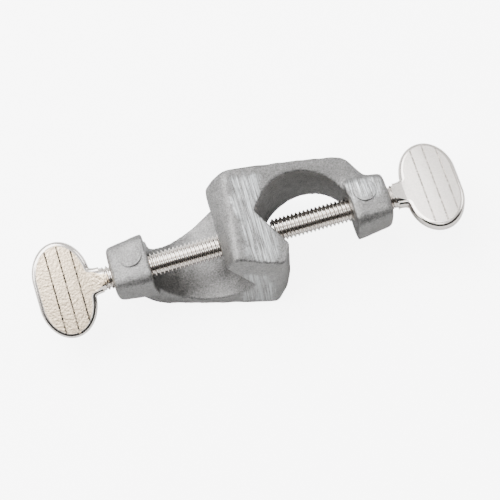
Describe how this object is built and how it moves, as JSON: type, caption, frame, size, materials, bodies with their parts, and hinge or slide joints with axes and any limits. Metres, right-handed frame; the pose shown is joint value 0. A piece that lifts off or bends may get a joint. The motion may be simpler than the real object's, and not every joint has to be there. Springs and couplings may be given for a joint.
{
  "type": "boss head clamp",
  "caption": "Cast laboratory boss head: V jaws at right angles, back to back, closed by spade thumb screws, for joining a clamp or ring to an upright support rod.",
  "frame": {"origin": "middle of the two screws' common axis, which is the middle of the bounding box", "axes": "+X along the screws towards the jaw for the upright rod; that rod runs along Z and its jaw opens to -Y; the level rod runs along Y in the jaw on -X, which opens to +Z; the casting rests on its flat back at -Z"},
  "size_m": [0.107, 0.0278, 0.0278],
  "materials": {
    "cast_alloy": "die cast, satin, partly ground",
    "plated_steel": "nickel plated, bright"
  },
  "bodies": {
    "clamp": {"clamp_body": "cast_alloy"},
    "left_thumb_screw": {"left_screw": "plated_steel"},
    "right_thumb_screw": {"right_screw": "plated_steel"}
  },
  "joints": [
    {"name": "left_screw_travel", "type": "slide", "parent": "clamp", "child": "left_thumb_screw", "axis": [-1, 0, 0], "range_m": [0, 0.018]},
    {"name": "right_screw_travel", "type": "slide", "parent": "clamp", "child": "right_thumb_screw", "axis": [1, 0, 0], "range_m": [0, 0.018]}
  ]
}
